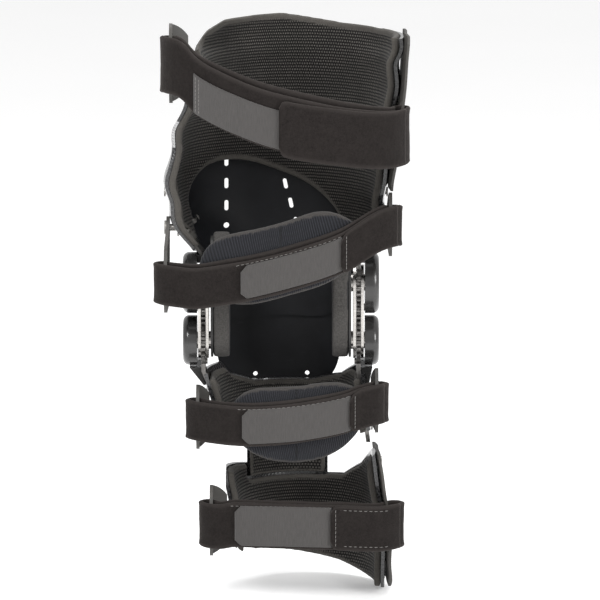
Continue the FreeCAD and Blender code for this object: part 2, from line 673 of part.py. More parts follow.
def bushes(label, up):
    """Plain bushes in the two arm eyes of one body."""
    solids = []
    for side in (1, -1):
        base = (dim("arm_x") * side - (dim("arm_thick") if side < 0 else 0), 0, up * dim("axle_drop"))
        ring = pin(dim("bush_radius"), dim("arm_thick"), base)
        solids.append(ring.cut(pin(dim("axle_radius") + dim("run_gap"), dim("arm_thick"), base)))
    feature(label, Part.makeCompound(solids))


def cap_screws(label, up):
    """Screws from the inner face of each arm into the foot of its cap."""
    z = up * (dim("axle_drop") + CAP_SCREW_REACH[up])
    solids = []
    for side in (1, -1):
        inner = side * dim("arm_x")
        shank = pin(dim("cap_screw_radius"), 9, (inner, 0, z), (side, 0, 0))
        head = pin(dim("cap_screw_head"), 1.4, (inner, 0, z), (-side, 0, 0))
        solids.append(shank.fuse(head))
    return feature(label, Part.makeCompound(solids))


bushes("thigh_arm_bushes", 1)
bushes("calf_arm_bushes", -1)
cap_screws("upper_cap_screws", 1)
cap_screws("lower_cap_screws", -1)


# ---------------------------------------------------------------------------------------------
# Shells, liners and kneecap guard
# ---------------------------------------------------------------------------------------------

def seated(shape, *others):
    """Shape with room cut for the pieces that sit in it."""
    for other in others:
        shape = shape.cut(other.Shape)
    solids = sorted(shape.Solids, key=lambda s: s.Volume)
    return solids[-1]


def thigh_layer(inner, outer, rear, low, grow):
    """Front of the thigh: cuff, window and side arms."""
    tube = layer(inner, outer, low, 205.5 + grow)
    tube = tube.common(box(-120, 120, rear, 120, 0, 230))
    tube = tube.common(prism_y(THIGH_CUFF, grow=grow))
    medial = prism_x([(y - grow if y < 100 else y, z) for y, z in THIGH_REAR_LEFT], -120, 0)
    lateral = box(0, 120, -120, 120, 0, 230)
    tube = tube.common(medial.fuse(lateral))
    return tube.cut(prism_y(KNEE_WINDOW, 5, 120, smooth=True))


def calf_layer(inner, outer, rear, outlines, low, high, grow=0.0):
    """Front of the calf inside the given outlines."""
    tube = layer(inner, outer, low, high).common(box(-120, 120, rear, 120, -230, 0))
    region = merged([prism_y(points, grow=grow) for points in outlines])
    return tube.common(region)


def guard_screws(label, spots, offset_in, offset_out, radius, head):
    """Screws square to the front, through the layers between two offsets."""
    solids = []
    for x, z in spots:
        y_out, y_in = skin_y(x, z, offset_out), skin_y(x, z, offset_in)
        shank = pin(radius, y_out - y_in + 0.6, (x, y_in, z), (0, 1, 0))
        solids.append(shank.fuse(pin(head, 1.6, (x, y_out + 0.6, z), (0, 1, 0))))
    return feature(label, Part.makeCompound(solids))


GUARD_SPOTS = [(-58, 98), (-20, 105), (24, 88), (50, 58), (-63, 60)]
CUP_SPOTS = [(-20, -64), (16, -64)]

plate_screws = guard_screws("patella_plate_screws", GUARD_SPOTS, dim("shell_in") + 0.1, dim("guard_out"),
                            1.8, 3.6)
cup_screws = guard_screws("patella_cup_screws", CUP_SPOTS, dim("shell_in") + 0.1, dim("cup_out"), 1.8, 3.6)


def cup_spacers():
    """Tubes that hold the cup off the calf shell."""
    solids = []
    for x, z in CUP_SPOTS:
        tube = pin(4, 30, (x, 30, z), (0, 1, 0))
        tube = tube.common(layer(dim("shell_out"), dim("cup_in"), -76, -52))
        solids.append(tube.cut(pin(1.8, 60, (x, 20, z), (0, 1, 0))))
    return feature("patella_cup_spacers", Part.makeCompound(solids))


def patella_plate():
    """Satin plate over the window, with two columns of slots."""
    shape = layer(dim("guard_in"), dim("guard_out"), -16, 114)
    shape = shape.common(prism_y(GUARD_PLATE, 5, 120, smooth=True))
    left_column = [(-40, 99), (-40, 83), (-40, 67)]
    right_column = [(3, 81.5), (7, 67.5), (11, 53.5)]
    for column, lean in ((left_column, 0), (right_column, 12)):
        for x, z in column:
            slot = merged([box(-1.4, 1.4, 20, 120, -2.4, 2.4), pin(1.4, 100, (0, 20, 2.4), (0, 1, 0)),
                           pin(1.4, 100, (0, 20, -2.4), (0, 1, 0))])
            slot.Placement = Placement(Vector(x, 0, z), Rotation(Vector(0, 1, 0), -lean))
            shape = shape.cut(slot)
    shape = shape.cut(pin(2.0, 100, (-40, 20, 53), (0, 1, 0)))
    feature("patella_plate", seated(shape, plate_screws))


def patella_cup():
    """Lower half of the guard, lapping outside the plate."""
    shape = layer(dim("cup_in"), dim("cup_out"), -70, 2).common(prism_y(GUARD_CUP, 5, 120, smooth=True))
    for x in (-19, 19):
        shape = shape.cut(pin(1.6, 100, (x, 20, -57.5), (0, 1, 0)))
    feature("patella_cup", seated(shape, cup_screws))


thigh_shell = thigh_layer(dim("shell_in"), dim("shell_out"), dim("shell_rear"), 46.5, 0.0)
feature("thigh_shell", seated(thigh_shell, arms[1, 1], arms[1, -1], rivets[1], plate_screws))
thigh_liner = thigh_layer(dim("liner_in"), dim("liner_out"), dim("shell_rear") - 4, 50, 2.0)
for side in (1, -1):
    # The bars bow inward of the shell, so the liner is cut back outside them as well.
    thigh_liner = thigh_liner.cut(arms[1, side].Shape.translated(Vector(side * 1.2, 0, 0)))
feature("thigh_liner", seated(thigh_liner, arms[1, 1], arms[1, -1], rivets[1], plate_screws))

calf_shell = calf_layer(dim("shell_in"), dim("shell_out"), -12, [CALF_YOKE, SHIN_PLATE, BOTTOM_CUFF],
                        -204, -44)
feature("calf_shell", seated(calf_shell, arms[-1, 1], arms[-1, -1], rivets[-1], cup_screws))
calf_liner = calf_layer(dim("liner_in"), dim("liner_out"), -15, [CALF_YOKE], -98, -47)
feature("calf_liner", seated(calf_liner, arms[-1, 1], arms[-1, -1], rivets[-1], cup_screws))
shin_pad = layer(dim("liner_in"), dim("liner_out"), -128, -101).common(box(-23, 32, 0, 120, -130, -100))
feature("shin_pad", shin_pad)
cuff_liner = calf_layer(dim("liner_in"), dim("liner_out"), -12, [BOTTOM_CUFF], -206, -97)
cuff_liner = cuff_liner.cut(box(-25, 34, 0, 120, -130, -90))
feature("bottom_cuff_liner", seated(cuff_liner, rivets[-1]))
patella_plate()
patella_cup()
cup_spacers()


def arm_cover(label, side):
    """Moulding that carries the lower cap's shape on down the arm."""
    def arm_face(z):
        return side * skin_x(z, dim("shell_in"), side)
    flat = dim("arm_x") + dim("arm_thick")
    top, bottom = -dim("axle_drop") - dim("lower_cap_radius") - 0.6, -53.0
    line = [(flat, top), (flat, BEND[-1][0]), (arm_face(bottom) + 2.6, bottom)]
    outer = [(arm_face(bottom) + 4.2, bottom), (flat + 8.5, top)]
    body = prism_y([(side * x, z) for x, z in line + outer], -9, 9)
    taper = prism_x([(-9, top), (9, top), (6, bottom), (-6, bottom)])
    shape = body.common(taper)
    return feature(label, seated(shape, arms[-1, side], PARTS["calf_shell"], rivets[-1]))


arm_cover("calf_arm_cover_right", 1)
arm_cover("calf_arm_cover_left", -1)


# ---------------------------------------------------------------------------------------------
# Straps, hook tabs and strap pads
# ---------------------------------------------------------------------------------------------

def half_oval(x_left, x_right, y_front, y_back):
    """Rear half of an oval in the XY plane, as a tall prism."""
    middle, half = (x_left + x_right) / 2, (x_right - x_left) / 2
    points = [Vector(middle + half * math.cos(math.radians(a)),
                     y_front + (y_front - y_back) * math.sin(math.radians(a)), -230)
              for a in range(0, -181, -12)]
    back = Part.Wire([spline(points), Part.makeLine(points[-1], points[0])])
    return Part.Face(back).extrude(Vector(0, 0, 460))


def oval_band(x_left, x_right, y_front, y_back, thick):
    """Rear half of an oval wall; the given oval is its outer face."""
    inner = half_oval(x_left + thick, x_right - thick, y_front + 0.01, y_back + thick)
    return half_oval(x_left, x_right, y_front, y_back).cut(inner)


def ribbon(route, wide):
    """Prism along Y of a ribbon that follows a route of X and Z."""
    upper = [Vector(x, -120, z + wide / 2) for x, z in route]
    lower = [Vector(x, -120, z - wide / 2) for x, z in reversed(route)]
    wire = Part.Wire([spline(upper), Part.makeLine(upper[-1], lower[0]), spline(lower),
                      Part.makeLine(lower[-1], upper[0])])
    return Part.Face(wire).extrude(Vector(0, 240, 0))


def strap_set(name, left, right, wide, y_back, loose, middle, hook_span):
    """Strap threaded through two slots and folded back on itself, with its hook tab."""
    thick, y, clear = dim("strap_thick"), dim("slot_y"), dim("strap_clear")
    inner_left, inner_right = left.x + clear, right.x - clear
    outer_left, outer_right = left.x - loose[0], right.x + loose[1]
    inner = oval_band(inner_left, inner_right, y, y_back, thick)
    outer = oval_band(outer_left - thick, outer_right + thick, y, y_back - thick - 0.1, thick + 0.2)
    half = 1.3
    turns = [box(outer_left - thick, inner_left + thick, y - half, y + half, -230, 230),
             box(inner_right - thick, outer_right + thick, y - half, y + half, -230, 230)]
    route = [(outer_left - 6, left.z), (left.x + 4, left.z)] + middle
    route += [(right.x - 4, right.z), (outer_right + 6, right.z)]
    loop = merged([inner, outer] + turns)
    feature(f"{name}_strap", loop.common(ribbon(route, wide)))
    face = y_back - thick - 0.1
    hook_thick = dim("hook_thick")
    hook = oval_band(outer_left - thick - hook_thick, outer_right + thick + hook_thick, y,
                     face - hook_thick, hook_thick)
    hook = hook.cut(half_oval(outer_left - thick - 0.05, outer_right + thick + 0.05, y + 1, face - 0.05))
    hook = hook.common(ribbon(route, wide - 3)).common(box(*hook_span, -120, 0, -230, 230))
    feature(f"{name}_hook_tab", hook.cut(loop))
    return inner_left, inner_right


def strap_pad(name, ends, y_back, outline):
    """Padded oval on the leg's side of a strap."""
    inset = dim("strap_thick") + 0.3
    band = oval_band(ends[0] + inset, ends[1] - inset, dim("slot_y") + 5, y_back + inset,
                     dim("strap_pad_thick"))
    feature(f"{name}_strap_pad", band.common(prism_y(outline, smooth=True)))


THIGH_BACK, KNEE_BACK, CALF_BACK, BOTTOM_BACK = -76, -60, -55, -55
KNEE_PAD = [(-58, 40), (-44, 61), (-20, 68), (9, 76), (29, 81), (42, 78), (56, 66), (44, 36),
            (10, 22), (-25, 14), (-46, 18)]
CALF_PAD = [(-37, -66), (-24, -50), (10, -46), (44, -45), (60, -58), (56, -80), (34, -97), (6, -101),
            (-20, -95), (-34, -82)]

strap_set("thigh", SLOTS["top_left"], SLOTS["lateral_thigh_wing"], dim("thigh_strap_wide"), THIGH_BACK,
          (5.0, 5.8), [(-58, 171), (-30, 158), (0, 148), (45, 138)], (-60, 2))
ends = strap_set("knee", SLOTS["knee_left"], SLOTS["knee_right"], dim("knee_strap_wide"), KNEE_BACK,
                 (6.0, 5.8), [(-58, 26), (-25, 32), (10, 41), (42, 51)], (-28, 43))
strap_pad("knee", ends, KNEE_BACK, KNEE_PAD)
ends = strap_set("calf", SLOTS["calf_left"], SLOTS["calf_right"], dim("calf_strap_wide"), CALF_BACK,
                 (6.2, 6.2), [(-34, -74), (-10, -73), (20, -70), (44, -66)], (-27, 49))
strap_pad("calf", ends, CALF_BACK, CALF_PAD)
strap_set("bottom", SLOTS["bottom_left"], SLOTS["lateral_calf_wing"], dim("bottom_strap_wide"), BOTTOM_BACK,
          (6.4, 8.4), [(-34, -147), (0, -146), (36, -147), (60, -149)], (-32, 36))


# ---------------------------------------------------------------------------------------------
# Checks and export
# ---------------------------------------------------------------------------------------------

def check_and_export():
    doc.recompute()
    for obj in doc.Objects:
        if "Invalid" in obj.State or "Error" in obj.State:
            raise RuntimeError(f"{obj.Name} failed: {obj.State}")
    for label, obj in PARTS.items():
        if obj.Shape.isNull() or not obj.Shape.isValid() or not obj.Shape.Solids:
            raise RuntimeError(f"{label} has no valid solid")
    os.makedirs("parts", exist_ok=True)
    for label, obj in PARTS.items():
        obj.Shape.exportStep(f"parts/{label}.step")
        size = obj.Shape.BoundBox
        print(f"{label:26s} solids {len(obj.Shape.Solids)}  volume {obj.Shape.Volume:10.1f}  "
              f"x {size.XMin:7.1f} {size.XMax:7.1f}  y {size.YMin:7.1f} {size.YMax:7.1f}  "
              f"z {size.ZMin:7.1f} {size.ZMax:7.1f}")
    print(len(PARTS), "sub-parts")


check_and_export()
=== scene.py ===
import math

import bmesh
import bpy
import numpy as np
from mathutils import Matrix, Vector, kdtree, noise


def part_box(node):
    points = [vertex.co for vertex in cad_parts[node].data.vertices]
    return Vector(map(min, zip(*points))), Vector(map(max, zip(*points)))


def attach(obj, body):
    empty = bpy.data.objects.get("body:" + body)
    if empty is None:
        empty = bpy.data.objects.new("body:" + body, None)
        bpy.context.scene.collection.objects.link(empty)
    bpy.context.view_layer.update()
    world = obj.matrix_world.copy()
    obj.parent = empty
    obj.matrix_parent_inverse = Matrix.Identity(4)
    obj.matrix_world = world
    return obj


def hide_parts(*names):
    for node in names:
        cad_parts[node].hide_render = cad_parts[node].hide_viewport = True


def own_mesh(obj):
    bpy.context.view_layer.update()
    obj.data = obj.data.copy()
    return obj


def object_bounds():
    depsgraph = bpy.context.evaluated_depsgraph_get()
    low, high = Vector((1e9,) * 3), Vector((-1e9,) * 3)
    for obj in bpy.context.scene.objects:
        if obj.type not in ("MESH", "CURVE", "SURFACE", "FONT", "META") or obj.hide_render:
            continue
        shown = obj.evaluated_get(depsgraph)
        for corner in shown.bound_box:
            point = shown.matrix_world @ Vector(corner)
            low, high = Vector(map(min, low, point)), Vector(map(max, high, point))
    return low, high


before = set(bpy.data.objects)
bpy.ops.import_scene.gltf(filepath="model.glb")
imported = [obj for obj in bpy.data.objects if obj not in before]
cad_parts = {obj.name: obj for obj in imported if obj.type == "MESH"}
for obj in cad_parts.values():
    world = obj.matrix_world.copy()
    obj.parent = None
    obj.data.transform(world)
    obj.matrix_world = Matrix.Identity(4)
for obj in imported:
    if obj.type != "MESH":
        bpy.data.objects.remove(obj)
cad_box = [list(corner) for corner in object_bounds()]


# ---------------------------------------------------------------------------------------------
# Materials
# ---------------------------------------------------------------------------------------------

class Finish:
    """A Principled material with short calls for the nodes that drive it."""

    def __init__(self, name, **constants):
        self.material = bpy.data.materials.new(name)
        self.material.use_nodes = True
        self.tree = self.material.node_tree
        self.shader = self.tree.nodes["Principled BSDF"]
        coordinates = self.tree.nodes.new("ShaderNodeTexCoord")
        self.place, self.uv = coordinates.outputs["Object"], coordinates.outputs["UV"]
        for socket, value in constants.items():
            self.shader.inputs[socket.replace("_", " ")].default_value = value

    def node(self, kind, inputs=None, **settings):
        made = self.tree.nodes.new("ShaderNode" + kind)
        for key, value in settings.items():
            setattr(made, key, value)
        for key, value in (inputs or {}).items():
            if isinstance(value, bpy.types.NodeSocket):
                self.tree.links.new(value, made.inputs[key])
            else:
                made.inputs[key].default_value = value
        return made

    def stretched(self, source, scale, turn=0.0):
        inputs = {"Vector": source, "Scale": scale, "Rotation": (0, 0, turn)}
        return self.node("Mapping", inputs).outputs[0]

    def noise(self, scale, detail=3.0, source=None, rough=0.55):
        inputs = {"Vector": source or self.place, "Scale": scale, "Detail": detail, "Roughness": rough}
        return self.node("TexNoise", inputs).outputs["Fac"]

    def ribs(self, source, scale, direction="X", distortion=0.0):
        inputs = {"Vector": source, "Scale": scale, "Distortion": distortion, "Detail Scale": 2.0}
        return self.node("TexWave", inputs, bands_direction=direction).outputs["Fac"]

    def spread(self, value, low, high, out_low=0.0, out_high=1.0):
        inputs = {"Value": value, "From Min": low, "From Max": high, "To Min": out_low, "To Max": out_high}
        return self.node("MapRange", inputs).outputs[0]

    def sums(self, first, second, operation="MULTIPLY"):
        made = self.node("Math", operation=operation)
        for socket, value in zip(made.inputs, (first, second)):
            if isinstance(value, bpy.types.NodeSocket):
                self.tree.links.new(value, socket)
            else:
                socket.default_value = value
        return made.outputs[0]

    def mixed(self, share, dark, light):
        made = self.node("Mix", data_type="RGBA")
        sockets = {s.identifier: s for s in made.inputs}
        for key, value in (("Factor_Float", share), ("A_Color", dark), ("B_Color", light)):
            if isinstance(value, bpy.types.NodeSocket):
                self.tree.links.new(value, sockets[key])
            else:
                sockets[key].default_value = value if key == "Factor_Float" else (*value, 1)
        return next(s for s in made.outputs if s.identifier == "Result_Color")

    def attribute(self, name):
        return self.node("Attribute", attribute_name=name).outputs["Fac"]

    def colour(self, value):
        if isinstance(value, bpy.types.NodeSocket):
            self.tree.links.new(value, self.shader.inputs["Base Color"])
        else:
            self.shader.inputs["Base Color"].default_value = (*value, 1)
        return self

    def roughness(self, value):
        self.tree.links.new(value, self.shader.inputs["Roughness"])
        return self

    def bumps(self, *layers):
        """Each layer is (height, depth in metres); later ones sit on earlier ones."""
        normal = None
        for height, depth in layers:
            inputs = {"Height": height, "Distance": depth, "Strength": 1.0}
            if normal:
                inputs["Normal"] = normal
            normal = self.node("Bump", inputs).outputs[0]
        self.tree.links.new(normal, self.shader.inputs["Normal"])
        return self


def carbon():
    """Woven twill under clear lacquer."""
    m = Finish("carbon_twill", Coat_Weight=0.7, Coat_Roughness=0.07, Specular_IOR_Level=0.55)
    split = m.node("SeparateXYZ", {"Vector": m.place}).outputs
    around = m.sums(split[0], split[1], "ADD")
    flat = m.node("CombineXYZ", {"X": around, "Y": split[2]}).outputs[0]
    turned = m.stretched(flat, (1, 1, 1), math.radians(45))
    warp = m.ribs(turned, 115, "X")
    weft = m.ribs(turned, 115, "Y")
    twill = m.spread(m.sums(warp, weft, "SUBTRACT"), -0.35, 0.35)
    cloud = m.noise(18)
    base = m.mixed(twill, (0.010, 0.010, 0.011), (0.030, 0.030, 0.032))
    m.colour(m.mixed(m.spread(cloud, 0.35, 0.7, 0, 0.35), base, (0.045, 0.043, 0.041)))
    m.roughness(m.spread(m.sums(twill, m.noise(60), "ADD"), 0.3, 1.6, 0.2, 0.36))
    return m.bumps((twill, 0.00005), (m.noise(700, 2), 0.00002)).material


def dash_rows(m, source, wide, tall):
    """Staggered rows of soft-edged dashes: 1 on a dash, 0 between."""
    split = m.node("SeparateXYZ", {"Vector": source}).outputs
    across, up = m.sums(split[0], wide, "DIVIDE"), m.sums(split[1], tall, "DIVIDE")
    shift = m.sums(m.sums(up, 0.0, "FLOOR"), 0.5)
    parts = []
    for value, inner, outer in ((m.sums(across, shift, "ADD"), 0.22, 0.36), (up, 0.14, 0.38)):
        from_middle = m.sums(m.sums(m.sums(value, 0.0, "FRACT"), 0.5, "SUBTRACT"), 0.0, "ABSOLUTE")
        parts.append(m.spread(from_middle, inner, outer, 1.0, 0.0))
    return m.sums(*parts)


def spacer_mesh(name, dark, light, wide=0.0027, tall=0.0022):
    """Knitted spacer mesh: offset rows of light dashes over dark gaps, with a plain bound rim."""
    m = Finish(name, Sheen_Weight=0.08, Sheen_Roughness=0.5, Specular_IOR_Level=0.2)
    drift = m.node("TexNoise", {"Vector": m.uv, "Scale": 160.0}).outputs["Color"]
    drift = m.node("VectorMath", {0: drift, 1: (0.0006, 0.0006, 0)}, operation="MULTIPLY").outputs[0]
    wobble = m.node("VectorMath", {0: m.uv, 1: drift}, operation="ADD").outputs[0]
    dashes = dash_rows(m, wobble, wide, tall)
    cloud = m.spread(m.noise(35), 0.3, 0.7, 0.55, 1.0)
    fuzz = m.noise(2600, 2)
    mesh = m.mixed(m.sums(dashes, cloud), dark, light)
    rim = m.attribute("rim")
    bound_dark, bound_light = (tuple(share * c for c in light) for share in (0.48, 0.74))
    binding = m.mixed(m.spread(fuzz, 0.3, 0.7), bound_dark, bound_light)
    m.colour(m.mixed(rim, mesh, binding))
    m.roughness(m.spread(m.sums(dashes, fuzz, "ADD"), 0.2, 1.6, 0.95, 0.7))
    open_share = m.spread(rim, 0.0, 1.0, 1.0, 0.0)
    return m.bumps((m.sums(dashes, open_share), 0.0007), (fuzz, 0.00012)).material


def loop_fabric():
    """Dark brushed loop fabric of the straps, a little lighter along the rolled edges."""
    m = Finish("strap_loop_fabric", Sheen_Weight=0.10, Sheen_Roughness=0.4, Specular_IOR_Level=0.12,
               Sheen_Tint=(0.75, 0.68, 0.64, 1))
    pile = m.sums(m.sums(m.noise(1500, 4, rough=0.7), 0.55), m.sums(m.noise(520, 3, rough=0.6), 0.45), "ADD")
    patches = m.noise(120, 3)
    fibres = m.noise(1.0, 3, m.stretched(m.uv, (900, 3000, 1)), 0.7)
    both = m.sums(m.sums(pile, 0.6), m.sums(fibres, 0.4), "ADD")
    base = m.mixed(m.spread(both, 0.35, 0.68), (0.0050, 0.0041, 0.0038), (0.021, 0.0172, 0.0160))
    worn = m.mixed(m.spread(patches, 0.4, 0.7, 0, 0.35), base, (0.020, 0.0168, 0.0156))
    m.colour(m.mixed(m.sums(m.attribute("edge"), 0.5), worn, (0.036, 0.031, 0.029)))
    m.roughness(m.spread(pile, 0.3, 0.7, 0.98, 0.82))
    return m.bumps((patches, 0.0006), (both, 0.00045)).material


def hook_fabric():
    """Grey woven backing of the hook tabs: fine ribs across, with slubs."""
    m = Finish("hook_tab_fabric", Sheen_Weight=0.2, Specular_IOR_Level=0.3)
    ribs = m.ribs(m.stretched(m.uv, (1, 1, 1)), 430, "X", 0.5)
    picks = m.ribs(m.stretched(m.uv, (1, 1, 1)), 520, "Y", 0.6)
    slubs = m.noise(1.0, 3, m.stretched(m.uv, (1500, 160, 1)), 0.6)
    weave = m.sums(m.sums(ribs, 0.65), m.sums(picks, 0.35), "ADD")
    cloth = m.mixed(m.spread(m.sums(weave, m.sums(slubs, 0.8), "ADD"), 0.3, 1.3),
                    (0.018, 0.017, 0.0165), (0.078, 0.073, 0.070))
    cloud = m.spread(m.noise(45), 0.35, 0.7, 0, 0.3)
    m.colour(m.mixed(cloud, cloth, (0.052, 0.048, 0.046)))
    m.roughness(m.spread(weave, 0, 1, 0.92, 0.68))
    return m.bumps((weave, 0.00022), (slubs, 0.00012)).material


def ribbed_fabric():
    """Blue-black ribbed knit over the strap pads, with a lighter bound edge."""
    m = Finish("ribbed_pad_fabric", Sheen_Weight=0.08, Sheen_Roughness=0.5, Specular_IOR_Level=0.18)
    ribs = m.ribs(m.stretched(m.uv, (1, 1, 1), math.radians(14)), 170, "X", 0.5)
    fuzz = m.noise(2200, 3)
    knit = m.mixed(m.spread(ribs, 0.1, 0.9), (0.0060, 0.0062, 0.0080), (0.0215, 0.0225, 0.0275))
    cloud = m.mixed(m.spread(m.noise(30), 0.35, 0.7, 0, 0.4), knit, (0.017, 0.0175, 0.0205))
    bound = m.mixed(m.spread(fuzz, 0.3, 0.7), (0.024, 0.022, 0.021), (0.058, 0.053, 0.050))
    rim = m.attribute("rim")
    m.colour(m.mixed(rim, cloud, bound))
    m.roughness(m.spread(fuzz, 0.3, 0.7, 0.95, 0.75))
    return m.bumps((m.sums(ribs, m.spread(rim, 0, 1, 1, 0)), 0.0005), (fuzz, 0.00015)).material


def smooth_foam_cover():
    """Smooth stretch cover of the condyle pads with a lighter brushed edge."""
    m = Finish("condyle_pad_cover", Sheen_Weight=0.06, Specular_IOR_Level=0.25)
    fuzz = m.noise(2400, 3)
    face = m.mixed(m.spread(fuzz, 0.3, 0.7), (0.0080, 0.0080, 0.0090), (0.0170, 0.0170, 0.0185))
    edge = m.mixed(m.spread(m.noise(900, 3), 0.3, 0.7), (0.034, 0.032, 0.030), (0.070, 0.066, 0.062))
    m.colour(m.mixed(m.attribute("rim"), face, edge))
    m.roughness(m.spread(m.noise(25), 0.3, 0.7, 0.6, 0.85))
    return m.bumps((m.noise(140), 0.0004), (fuzz, 0.00012)).material


def moulded(name, dark, light, rough=(0.38, 0.55), grain=1400, depth=0.00004, **constants):
    """Moulded plastic: fine grain, faint clouding and rubbed patches."""
    m = Finish(name, **constants)
    cloud, fine = m.noise(28), m.noise(grain, 3)
    scuffs = m.noise(1.0, 3, m.stretched(m.place, (90, 90, 700)), 0.65)
    base = m.mixed(m.spread(cloud, 0.3, 0.7), dark, light)
    rubbed = m.spread(scuffs, 0.62, 0.78, 0, 0.35)
    m.colour(m.mixed(rubbed, base, tuple(min(1, 1.9 * c) for c in light)))
    m.roughness(m.spread(m.sums(cloud, m.sums(fine, 0.5), "ADD"), 0.4, 1.1, *rough))
    return m.bumps((fine, depth), (scuffs, 0.00003)).material


def metal(name, dark, light, rough=(0.18, 0.4), brushed=(40, 40, 1600)):
    """Brushed metal with faint marks."""
    m = Finish(name, Metallic=1.0)
    lines = m.noise(1.0, 3, m.stretched(m.place, brushed), 0.6)
    marks = m.noise(160, 4)
    m.colour(m.mixed(m.spread(m.sums(lines, marks, "ADD"), 0.7, 1.3), dark, light))
    m.roughness(m.spread(m.sums(lines, marks, "ADD"), 0.7, 1.3, *rough))
    return m.bumps((lines, 0.00002), (marks, 0.00003)).material


def thread(name, dark, light):
    """Twisted sewing thread."""
    m = Finish(name, Sheen_Weight=0.3)
    twist = m.noise(3200, 2)
    m.colour(m.mixed(m.spread(twist, 0.3, 0.7), dark, light))
    m.roughness(m.spread(twist, 0.3, 0.7, 0.9, 0.6))
    return m.bumps((twist, 0.0001)).material


CARBON = carbon()
MESH = spacer_mesh("spacer_mesh", (0.0050, 0.0046, 0.0042), (0.105, 0.097, 0.087))
LOOP = loop_fabric()
HOOK = hook_fabric()
RIBBED = ribbed_fabric()
FOAM = smooth_foam_cover()
SATIN = moulded("satin_guard_plastic", (0.0050, 0.0052, 0.0062), (0.0105, 0.011, 0.013), (0.42, 0.58),
                Specular_IOR_Level=0.22)
CAP = moulded("gloss_cap_plastic", (0.014, 0.014, 0.014), (0.032, 0.031, 0.030), (0.16, 0.3),
              Coat_Weight=0.25)
WING = moulded("flexible_wing_plastic", (0.030, 0.0275, 0.0245), (0.052, 0.048, 0.043), (0.5, 0.68))
TAB = moulded("tab_plastic", (0.036, 0.034, 0.031), (0.062, 0.058, 0.053), (0.42, 0.6))
BACKING = moulded("backing_plastic", (0.012, 0.012, 0.012), (0.022, 0.021, 0.020), (0.45, 0.6))
STEEL = metal("hinge_steel", (0.42, 0.40, 0.38), (0.72, 0.70, 0.67))
ARM = metal("arm_metal", (0.10, 0.095, 0.09), (0.26, 0.25, 0.24), (0.28, 0.48), (600, 600, 30))
RIVET = metal("rivet_metal", (0.16, 0.15, 0.145), (0.36, 0.35, 0.33), (0.25, 0.42))
NYLON = moulded("bush_nylon", (0.30, 0.29, 0.27), (0.42, 0.41, 0.39), (0.4, 0.55))
SPACER = moulded("spacer_plastic", (0.03, 0.03, 0.03), (0.05, 0.05, 0.05), (0.4, 0.55))
THREAD = thread("stitch_thread", (0.09, 0.085, 0.08), (0.22, 0.21, 0.20))

FINISHES = {
    "thigh_shell": CARBON, "calf_shell": CARBON,
    "lateral_thigh_wing": WING, "lateral_calf_wing": WING,
    "patella_plate": SATIN, "patella_cup": SATIN, "patella_cup_spacers": SPACER,
    "thigh_arm_bushes": NYLON, "calf_arm_bushes": NYLON,
}
BY_WORD = (
    ("hinge_cap", CAP), ("arm_cover", CAP), ("hinge_arm", ARM), ("hinge_plate", STEEL), ("axle", STEEL),
    ("extension_stop", ARM), ("rivet", RIVET), ("screw", RIVET), ("backing", BACKING), ("strap_tab", TAB),
)

for name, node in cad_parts.items():
    finish = FINISHES.get(name) or next((m for word, m in BY_WORD if word in name), SATIN)
    node.data.materials.clear()
    node.data.materials.append(finish)


# ---------------------------------------------------------------------------------------------
# Mesh helpers
# ---------------------------------------------------------------------------------------------

def new_piece(name, verts, faces, material, uvs=None):
    """Smooth-shaded mesh object, with one UV pair for each corner of each face where given."""
    mesh = bpy.data.meshes.new(name)
    mesh.from_pydata([tuple(v) for v in verts], [], faces)
    if uvs is not None:
        layer = mesh.uv_layers.new(name="UVMap")
        flat = np.array([uv for face in uvs for uv in face], np.float32)
        layer.data.foreach_set("uv", flat.ravel())
    mesh.polygons.foreach_set("use_smooth", [True] * len(mesh.polygons))
    mesh.update()
    obj = bpy.data.objects.new(name, mesh)
    bpy.context.scene.collection.objects.link(obj)
    mesh.materials.append(material)
    return obj


def paint(obj, name, values):
    """Keep one number for each point of a mesh, for its material to read."""
    attribute = obj.data.attributes.new(name, "FLOAT", "POINT")
    attribute.data.foreach_set("value", np.asarray(values, np.float32))


def coordinates(obj):
    """Points of a mesh as an array of rows."""
    co = np.zeros(len(obj.data.vertices) * 3)
    obj.data.vertices.foreach_get("co", co)
    return co.reshape(-1, 3)


def wave_noise(point, scale, seed=0.0):
    """Slow waviness of cloth at a point, the same on each run."""
    x, y, z = point
    return noise.noise(Vector((x * scale + seed, y * scale - seed, z * scale + 2 * seed)))


def eased(value, low, high):
    """0 below low, 1 above high, with a smooth step between."""
    t = np.clip((value - low) / (high - low), 0, 1)
    return t * t * (3 - 2 * t)


def route_height(points):
    """Height as a smooth function of X through the given points."""
    xs = [p[0] for p in points]
    zs = [p[1] for p in points]
    slopes = []
    for i in range(len(xs)):
        low, high = max(i - 1, 0), min(i + 1, len(xs) - 1)
        slopes.append((zs[high] - zs[low]) / (xs[high] - xs[low]))

    def height(x):
        x = min(max(x, xs[0]), xs[-1])
        i = max(k for k in range(len(xs) - 1) if xs[k] <= x) if x < xs[-1] else len(xs) - 2
        span = xs[i + 1] - xs[i]
        t = (x - xs[i]) / span
        a, b = 2 * t ** 3 - 3 * t ** 2 + 1, t ** 3 - 2 * t ** 2 + t
        c, d = -2 * t ** 3 + 3 * t ** 2, t ** 3 - t ** 2
        return a * zs[i] + b * span * slopes[i] + c * zs[i + 1] + d * span * slopes[i + 1]

    return height


